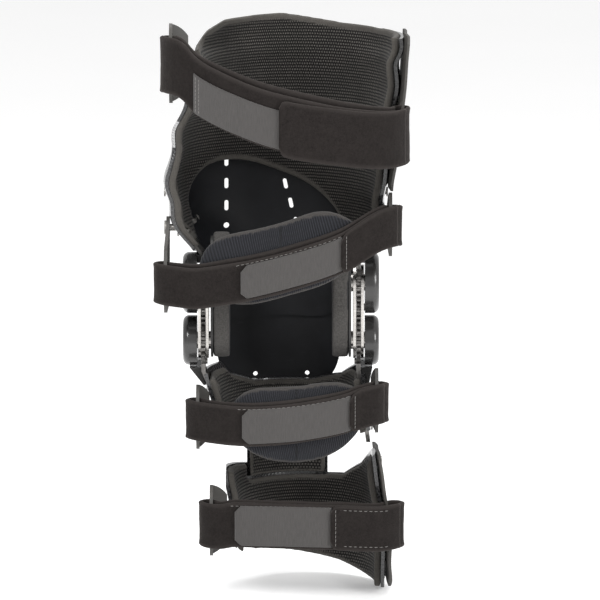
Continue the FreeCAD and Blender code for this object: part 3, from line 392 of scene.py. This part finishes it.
def even_steps(points, step, closed):
    """Points at even distances along a smooth curve through the given ones."""
    pts = [np.array(p, float) for p in points]
    count = len(pts)
    dense = []
    spans = count if closed else count - 1
    for i in range(spans):
        if closed:
            a, b, c, d = (pts[(i + k) % count] for k in (-1, 0, 1, 2))
        else:
            a, b, c, d = (pts[min(max(i + k, 0), count - 1)] for k in (-1, 0, 1, 2))
        for j in range(12):
            t = j / 12
            dense.append(0.5 * (2 * b + (c - a) * t + (2 * a - 5 * b + 4 * c - d) * t * t
                                + (3 * b - a - 3 * c + d) * t ** 3))
    if not closed:
        dense.append(pts[-1])
    ring = np.array(dense + ([dense[0]] if closed else []))
    lengths = np.concatenate([[0], np.cumsum(np.linalg.norm(np.diff(ring, axis=0), axis=1))])
    total = lengths[-1]
    number = max(4, round(total / step))
    marks = np.linspace(0, total, number, endpoint=not closed)
    return np.array([[np.interp(s, lengths, ring[:, k]) for k in range(3)] for s in marks]), marks, total


def band(name, points, wide, thick, material, closed=False, step=0.002, roll=0.0004, ripple=0.0004,
         seed=0.0, width_at=None, lift_at=None):
    """Fabric band that stands upright and follows points in plan: rounded section with rolled edges."""
    route, marks, total = even_steps(points, step, closed)
    count = len(route)
    across = 14
    profile = []
    for i in range(across + 1):
        v = -1 + 2 * i / across
        v = math.copysign(abs(v) ** 0.85, v)
        profile.append((v, 1))
    for i in range(1, 4):
        a = math.pi * i / 4
        profile.append((1 + 0.5 * math.sin(a) * thick / (wide / 2), math.cos(a)))
    for v, _ in reversed(profile[:across + 1]):
        profile.append((v, -1))
    for i in range(1, 4):
        a = math.pi * i / 4
        profile.append((-1 - 0.5 * math.sin(a) * thick / (wide / 2), -math.cos(a)))
    verts, edge = [], []
    for k in range(count):
        before = route[k - 1] if closed or k else route[k]
        after = route[(k + 1) % count] if closed or k < count - 1 else route[k]
        along = after - before
        flat = math.hypot(along[0], along[1]) or 1e-9
        out = np.array([along[1] / flat, -along[0] / flat, 0])
        share = marks[k] / total
        half = wide / 2 * (width_at(share) if width_at else 1)
        lift = lift_at(share) if lift_at else 0.0
        for v, h in profile:
            fat = thick / 2 + roll * eased(abs(v), 0.8, 0.97) * (1 if abs(h) == 1 else 0.4)
            point = route[k] + out * (h * fat + lift)
            point[2] += v * half
            shift = ripple * wave_noise(point, 55, seed) + ripple * 0.5 * wave_noise(point, 160, seed)
            point = point + out * shift
            point[2] += ripple * 1.4 * wave_noise((point[0], point[1], 0), 40, seed + 5) * abs(v)
            verts.append(point)
            edge.append(float(eased(abs(v), 0.86, 0.98)))
    ring = len(profile)
    around = [0.0]
    for a, b in zip(profile, profile[1:] + profile[:1]):
        around.append(around[-1] + math.hypot((b[0] - a[0]) * wide / 2, (b[1] - a[1]) * thick / 2))
    faces, uvs = [], []
    for k in range(count if closed else count - 1):
        u0 = marks[k]
        u1 = marks[k + 1] if k + 1 < count else total
        for i in range(ring):
            j = (i + 1) % ring
            n = (k + 1) % count
            faces.append((k * ring + i, k * ring + j, n * ring + j, n * ring + i))
            uvs.append(((u0, around[i]), (u0, around[i + 1]), (u1, around[i + 1]), (u1, around[i])))
    if not closed:
        for k, flip in ((0, True), (count - 1, False)):
            cap = [k * ring + i for i in range(ring)]
            faces.append(tuple(reversed(cap)) if flip else tuple(cap))
            uvs.append(tuple((marks[k], 0.001 * i) for i in range(ring)))
    obj = new_piece(name, verts, faces, material, uvs)
    paint(obj, "edge", edge)
    return obj


def oval(x_left, x_right, y_front, y_back, x):
    """Y of the rear half of an oval at x."""
    middle, half = (x_left + x_right) / 2, (x_right - x_left) / 2
    share = min(1.0, abs(x - middle) / half)
    return y_front - (y_front - y_back) * math.sqrt(1 - share * share)


def oval_points(x_left, x_right, y_front, y_back, height, angles):
    """Points round an oval at the given angles, each at its own height."""
    middle, half = (x_left + x_right) / 2, (x_right - x_left) / 2
    found = []
    for a in angles:
        x = middle + half * math.cos(math.radians(a))
        found.append((x, y_front - (y_front - y_back) * math.sin(math.radians(a)), height(x)))
    return found


def stitches(name, rows, size, material):
    """Short rounded threads, each given by its middle and its direction."""
    verts, faces = [], []
    for middle, along, out in rows:
        along, out = Vector(along).normalized(), Vector(out).normalized()
        side = along.cross(out)
        start = len(verts)
        for share, fat in ((-1, 0.25), (-0.8, 0.75), (-0.35, 1.0), (0.35, 1.0), (0.8, 0.75), (1, 0.25)):
            for i in range(6):
                a = math.tau * i / 6
                verts.append(Vector(middle) + along * (share * size[0] / 2)
                             + (out * math.cos(a) + side * math.sin(a)) * (fat * size[1] / 2)
                             - out * (abs(share) ** 3 * size[1] * 0.4))
        for k in range(5):
            for i in range(6):
                j = (i + 1) % 6
                low, high = start + k * 6, start + (k + 1) * 6
                faces.append((low + i, low + j, high + j, high + i))
        faces.append(tuple(start + i for i in reversed(range(6))))
        faces.append(tuple(start + 30 + i for i in range(6)))
    return new_piece(name, verts, faces, material)


def soft_copy(name, node, material, voxel, rounds, strength=0.5, rim_width=0.004, centre=(0.0, 0.0),
              radius=0.07, rim_test=0.55, swell=0.0):
    """Soft piece grown from a CAD solid: remeshed evenly, rounded, unrolled for its weave, rim marked."""
    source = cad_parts[node]
    obj = bpy.data.objects.new(name, source.data.copy())
    bpy.context.scene.collection.objects.link(obj)
    build = bmesh.new()
    build.from_mesh(obj.data)
    bmesh.ops.remove_doubles(build, verts=build.verts, dist=1e-6)
    build.to_mesh(obj.data)
    build.free()
    remesh = obj.modifiers.new("even", "REMESH")
    remesh.mode, remesh.voxel_size = "VOXEL", voxel
    soften = obj.modifiers.new("soften", "SMOOTH")
    soften.factor, soften.iterations = strength, rounds
    depsgraph = bpy.context.evaluated_depsgraph_get()
    mesh = bpy.data.meshes.new_from_object(obj.evaluated_get(depsgraph))
    obj.modifiers.clear()
    obj.data = mesh
    mesh.name = name
    mesh.materials.clear()
    mesh.materials.append(material)
    mesh.polygons.foreach_set("use_smooth", [True] * len(mesh.polygons))
    co = coordinates(obj)
    normals = np.zeros(len(mesh.vertices) * 3)
    mesh.vertices.foreach_get("normal", normals)
    normals = normals.reshape(-1, 3)
    away = co[:, :2] - np.array(centre)
    away /= np.maximum(np.linalg.norm(away, axis=1), 1e-9)[:, None]
    facing = np.abs((normals[:, :2] * away).sum(1))
    edge = facing < rim_test
    tree = kdtree.KDTree(int(edge.sum()) or 1)
    for i, k in enumerate(np.nonzero(edge)[0]):
        tree.insert(co[k], i)
    tree.balance()
    near = np.array([tree.find(p)[2] for p in co]) if edge.any() else np.full(len(co), 1.0)
    paint(obj, "rim", 1 - eased(near, rim_width * 0.8, rim_width))
    if swell:
        puff = eased(near, 0, 0.012)[:, None] * swell
        moved = co + normals * puff
        mesh.vertices.foreach_set("co", moved.astype(np.float32).ravel())
    around = np.arctan2(co[:, 0] - centre[0], co[:, 1] - centre[1]) * radius
    layer = mesh.uv_layers.new(name="UVMap")
    corner = np.zeros(len(mesh.loops), int)
    mesh.loops.foreach_get("vertex_index", corner)
    layer.data.foreach_set("uv", np.stack([around[corner], co[corner, 2]], 1).astype(np.float32).ravel())
    mesh.update()
    return obj


# ---------------------------------------------------------------------------------------------
# Liners and pads
# ---------------------------------------------------------------------------------------------

fine = 0.0013

SOFT = (
    # name, CAD node, material, body, slot, smoothing rounds, rim width, plan centre, unroll radius
    ("thigh_mesh_liner", "thigh_liner", MESH, "thigh", "mesh", 8, 0.0045, (0.0, 0.02), 0.085),
    ("calf_mesh_liner", "calf_liner", MESH, "calf", "mesh", 8, 0.0035, (0.006, 0.02), 0.058),
    ("cuff_mesh_liner", "bottom_cuff_liner", MESH, "calf", "mesh", 8, 0.0035, (0.012, 0.015), 0.055),
    ("shin_mesh_pad", "shin_pad", MESH, "calf", "mesh", 8, 0.0025, (0.006, 0.01), 0.05),
)
for name, node, material, body, slot, rounds, rim, centre, radius in SOFT:
    liner = soft_copy(name, node, material, fine, rounds, rim_width=rim, centre=centre, radius=radius)
    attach(liner, body)
    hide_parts(node)

for side, sign in (("right", 1), ("left", -1)):
    body = f"hinge_{side}"
    lo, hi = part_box(f"condyle_pad_{side}")
    pad = soft_copy(f"condyle_cushion_{side}", f"condyle_pad_{side}", FOAM, 0.0016, 10, rim_width=0.0012,
                    centre=(-sign * 5.0, (lo.y + hi.y) / 2), radius=5.0, rim_test=0.75)
    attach(pad, body)
    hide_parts(f"condyle_pad_{side}")


# ---------------------------------------------------------------------------------------------
# Straps
# ---------------------------------------------------------------------------------------------

THICK, CLEAR, SLOT_Y, HOOK_THICK = 0.0025, 0.0022, -0.025, 0.0012

# Each strap in metres: its width, rear Y and slack at its two slots, its heights at the slots (ends) and
# along the run between them (middle, as X and Z), the X where its hook tab and its lapped end begin and end,
# how far its inner run rises, and the height and drop of the hook tab and of the lapped end.
STRAPS = {
    "thigh": dict(body="thigh", wide=0.038, back=-0.076, loose=(0.0050, 0.0058), ends=(0.183, 0.133),
                  middle=[(-0.058, 0.171), (-0.030, 0.158), (0.0, 0.148), (0.045, 0.138)],
                  hook=(-0.060, 0.002), lap=-0.001, rise=0.0045, seam_left=True, tall=0.0265, drop=0.0050,
                  lap_drop=0.0035),
    "knee": dict(body="thigh", wide=0.027, back=-0.060, loose=(0.0060, 0.0058), ends=(0.026, 0.067),
                 middle=[(-0.058, 0.026), (-0.025, 0.032), (0.010, 0.041), (0.042, 0.051)],
                 hook=(-0.028, 0.043), lap=0.042, rise=0.0035, seam_left=False, tall=0.0228, drop=0.0,
                 lap_drop=0.0),
    "calf": dict(body="calf", wide=0.0265, back=-0.055, loose=(0.0062, 0.0062), ends=(-0.073, -0.061),
                 middle=[(-0.034, -0.074), (-0.010, -0.073), (0.020, -0.070), (0.044, -0.066)],
                 hook=(-0.027, 0.049), lap=0.048, rise=0.0025, seam_left=False, tall=0.0238, drop=0.0,
                 lap_drop=0.0),
    "bottom": dict(body="calf", wide=0.0305, back=-0.055, loose=(0.0064, 0.0084), ends=(-0.149, -0.150),
                   middle=[(-0.034, -0.147), (0.0, -0.146), (0.036, -0.147), (0.060, -0.149)],
                   hook=(-0.032, 0.036), lap=0.035, rise=0.0015, seam_left=False, tall=0.0280, drop=0.0,
                   lap_drop=0.0),
}


def strap(name, plan):
    """The strap's loop, its lapped end, its hook tab and their stitches."""
    lo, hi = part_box(f"{name}_strap")
    loose_left, loose_right = plan["loose"]
    out_left, out_right = lo.x + THICK / 2, hi.x - THICK / 2
    in_left = lo.x + THICK + loose_left + CLEAR + THICK / 2
    in_right = hi.x - THICK - loose_right - CLEAR - THICK / 2
    ends = plan["ends"]
    height = route_height([(lo.x - 0.01, ends[0]), (in_left + 0.003, ends[0])] + plan["middle"]
                          + [(in_right - 0.003, ends[1]), (hi.x + 0.01, ends[1])])
    back_out, back_in = plan["back"] - 0.0001 - THICK / 2, plan["back"] + THICK / 2 + 0.0002
    turn_left, turn_right = (in_left - out_left) / 2, (out_right - in_right) / 2

    def plan_run(x_left, x_right, back, start, stop, count, raised=0.0):
        angles = [start + (stop - start) * i / (count - 1) for i in range(count)]
        found = oval_points(x_left, x_right, SLOT_Y - 0.002, back, height, angles)
        middle, half = (x_left + x_right) / 2, (x_right - x_left) / 2
        return [(x, y, z + raised * max(0.0, 1 - ((x - middle) / half) ** 2) ** 0.6) for x, y, z in found]

    outer = plan_run(out_left, out_right, back_out, 8, 172, 30)
    inner = plan_run(in_left, in_right, back_in, 172, 8, 28, plan["rise"])
    bend_left, bend_right = (out_left + in_left) / 2, (out_right + in_right) / 2
    y_left, y_right = SLOT_Y - turn_left, SLOT_Y - turn_right

    def fold(x, y, radius, z, angles):
        turns = [math.radians(angle) for angle in angles]
        return [(x + radius * math.cos(turn), y + radius * math.sin(turn), z) for turn in turns]

    left = fold(bend_left, y_left, turn_left, ends[0], (165, 120, 90, 60, 15))
    right = fold(bend_right, y_right, turn_right, ends[1], (15, 60, 90, 120, 165))
    route = outer + left + inner + list(reversed(right))
    loop = band(f"{name}_strap_loop", route, plan["wide"], THICK, LOOP, closed=True, seed=len(name) * 1.7)
    face = THICK / 2

    def on_face(x, lift):
        """Point at a distance outside the outer run, at a given X."""
        y = oval(out_left, out_right, SLOT_Y - 0.002, back_out, x)
        ahead = oval(out_left, out_right, SLOT_Y - 0.002, back_out, x + 0.0005)
        out = Vector((ahead - y, -0.0005, 0)).normalized()
        if out.y > 0:
            out = -out
        return Vector((x, y, height(x))) + out * (face + lift), out

    def face_run(x_from, x_to, lift, steps=24, drop=(0.0, 0.0)):
        """Points along the outer run, let down by one amount at the start and another at the end."""
        found = []
        for i in range(steps + 1):
            point, _ = on_face(x_from + (x_to - x_from) * i / steps, lift)
            found.append((point.x, point.y, point.z - drop[0] - (drop[1] - drop[0]) * i / steps))
        return found

    # The lapped end lies over the hook tab's sewn end and sinks into the fold at the slot.
    lap_thick = 0.0017
    right_end = out_right - 0.0035
    run = face_run(plan["lap"], right_end, lap_thick / 2 + 0.0002, 30, (plan["lap_drop"], 0.0))
    corner = 0.0055

    def lap_width(share):
        along = share * (right_end - plan["lap"])
        if along >= corner:
            return 1.0
        return 1 - (corner - math.sqrt(corner ** 2 - (corner - along) ** 2)) / (plan["wide"] / 2)

    lap = band(f"{name}_strap_lap", run, plan["wide"] + 0.0006, lap_thick, LOOP, seed=len(name) + 3.1,
               width_at=lap_width, ripple=0.0003,
               lift_at=lambda s: HOOK_THICK * (1 - eased(s, 0.0, 0.25)) - 0.0012 * eased(s, 0.72, 1.0))

    # The hook tab, chamfered at its free end.
    low, high = plan["hook"]
    hook_run = face_run(low, high, HOOK_THICK / 2 + 0.0001, 34, (plan["drop"], plan["drop"]))
    tall = plan["tall"]
    chamfer = 0.0 if plan["seam_left"] else 0.0042

    def tab_width(share):
        along = share * (high - low)
        cut = 1.0
        if along < chamfer:
            cut = 1 - (chamfer - along) / (tall / 2)
        return cut

    hook = band(f"{name}_hook_fabric", hook_run, tall, HOOK_THICK, HOOK, step=0.0012, roll=0.0001,
                ripple=0.00015, seed=len(name) + 9.0, width_at=tab_width,
                lift_at=lambda s: (0.0009 * (1 - eased(s, 0, 0.1))) if chamfer else 0.0)

    rows = []
    half = plan["wide"] / 2

    def seam(x, lift, low_share, high_share, count, drop=0.0):
        """Upright row of stitches at one X."""
        point, out = on_face(x, lift)
        for i in range(count):
            z = point.z - drop + half * (low_share + (high_share - low_share) * (i + 0.5) / count)
            rows.append(((point.x, point.y, z), (0.06, 0, 1), out))

    def run_of_stitches(x_from, x_to, share, lift, pitch=0.0034):
        """Row of stitches along the strap at one height across it."""
        count = max(2, int(abs(x_to - x_from) / pitch))
        for i in range(count):
            x = x_from + (x_to - x_from) * (i + 0.5) / count
            point, out = on_face(x, lift)
            ahead, _ = on_face(x + 0.001, lift)
            rows.append(((point.x, point.y, point.z + half * share), ahead - point, out))

    top = lap_thick + HOOK_THICK + 0.0001
    if plan["seam_left"]:
        seam(low + 0.0014, HOOK_THICK + 0.0002, -0.66, 0.66, 9, plan["drop"])
        seam(low + 0.0036, HOOK_THICK + 0.0002, -0.66, 0.66, 9, plan["drop"])
    else:
        seam(plan["lap"] + 0.0036, top, -0.9, 0.9, 9)
        run_of_stitches(low - 0.004, high, 0.94, 0.0004)
    if name == "bottom":
        run_of_stitches(plan["lap"] + 0.005, out_right - 0.012, -0.86, lap_thick + 0.0006)
        run_of_stitches(plan["lap"] + 0.005, out_right - 0.012, 0.86, lap_thick + 0.0006)
    thread_rows = stitches(f"{name}_strap_stitches", rows, (0.0024, 0.00042), THREAD)

    pieces = [loop, lap, hook, thread_rows]
    for piece in pieces:
        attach(piece, plan["body"])
    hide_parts(f"{name}_strap")
    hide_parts(f"{name}_hook_tab")
    return pieces


strap_pieces = {name: strap(name, plan) for name, plan in STRAPS.items()}

for name, body, seed in (("knee", "thigh", 1.0), ("calf", "calf", 2.0)):
    lo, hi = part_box(f"{name}_strap_pad")
    pad = soft_copy(f"{name}_strap_cushion", f"{name}_strap_pad", RIBBED, 0.0016, 14, rim_width=0.0022,
                    centre=((lo.x + hi.x) / 2, -0.02), radius=0.05, rim_test=0.6, swell=0.0008)
    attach(pad, body)
    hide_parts(f"{name}_strap_pad")
    strap_pieces[name].append(pad)


# ---------------------------------------------------------------------------------------------
# Own meshes: the knee and calf strap pieces each get their own copy of their mesh data
# ---------------------------------------------------------------------------------------------

for name, keep in (("knee", 0.35), ("calf", 0.35)):
    for piece in strap_pieces[name]:
        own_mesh(piece)


# ---------------------------------------------------------------------------------------------
# Floor, light and camera
# ---------------------------------------------------------------------------------------------

def stage():
    """A wide flat floor that glows faintly, so that it stays pale as far as any camera sees."""
    low, reach, count = cad_box[0][2] - 0.002, 60.0, 48
    turns = [2 * math.pi * i / count for i in range(count)]
    verts = [(reach * math.cos(a), reach * math.sin(a), low) for a in turns]
    m = Finish("pale_floor", Emission_Color=(1, 1, 1, 1), Emission_Strength=0.20)
    m.colour(m.mixed(m.spread(m.noise(3), 0.3, 0.7), (0.90, 0.90, 0.90), (0.92, 0.92, 0.92)))
    m.roughness(m.spread(m.noise(5), 0.3, 0.7, 0.7, 0.8))
    new_piece("floor", verts, [tuple(range(count))], m.material)


stage()

world = bpy.data.worlds.new("studio")
world.use_nodes = True
world.node_tree.nodes["Background"].inputs["Color"].default_value = (1, 1, 1, 1)
world.node_tree.nodes["Background"].inputs["Strength"].default_value = 0.75
bpy.context.scene.world = world
bpy.context.scene.view_settings.view_transform = "Standard"


def lamp(name, at, size, power):
    """Round soft lamp that points at the knee."""
    data = bpy.data.lights.new(name, "AREA")
    data.shape, data.size, data.energy = "DISK", size, power
    obj = bpy.data.objects.new(name, data)
    obj.location = at
    obj.rotation_mode = "QUATERNION"
    obj.rotation_quaternion = (-Vector(at)).to_track_quat("-Z", "Y")
    bpy.context.scene.collection.objects.link(obj)


lamp("key", (-0.9, -1.5, 1.3), 0.9, 28)
lamp("fill", (1.4, -1.2, 0.6), 0.9, 20)
lamp("top", (0.1, 0.4, 1.7), 0.8, 14)

tilt, distance, seen_width, sensor = math.radians(10), 4.0, 0.432, 36
camera_data = bpy.data.cameras.new("camera")
camera_data.sensor_width = sensor
camera_data.lens = sensor * distance / seen_width
camera = bpy.data.objects.new("camera", camera_data)
aim = Vector((0.0137, 0.0, 0.0082))
camera_data.clip_end = 100
camera.location = aim + Vector((0, -math.cos(tilt), math.sin(tilt))) * distance
camera.rotation_mode = "QUATERNION"
camera.rotation_quaternion = (aim - camera.location).to_track_quat("-Z", "Y")
bpy.context.scene.collection.objects.link(camera)
bpy.context.scene.camera = camera
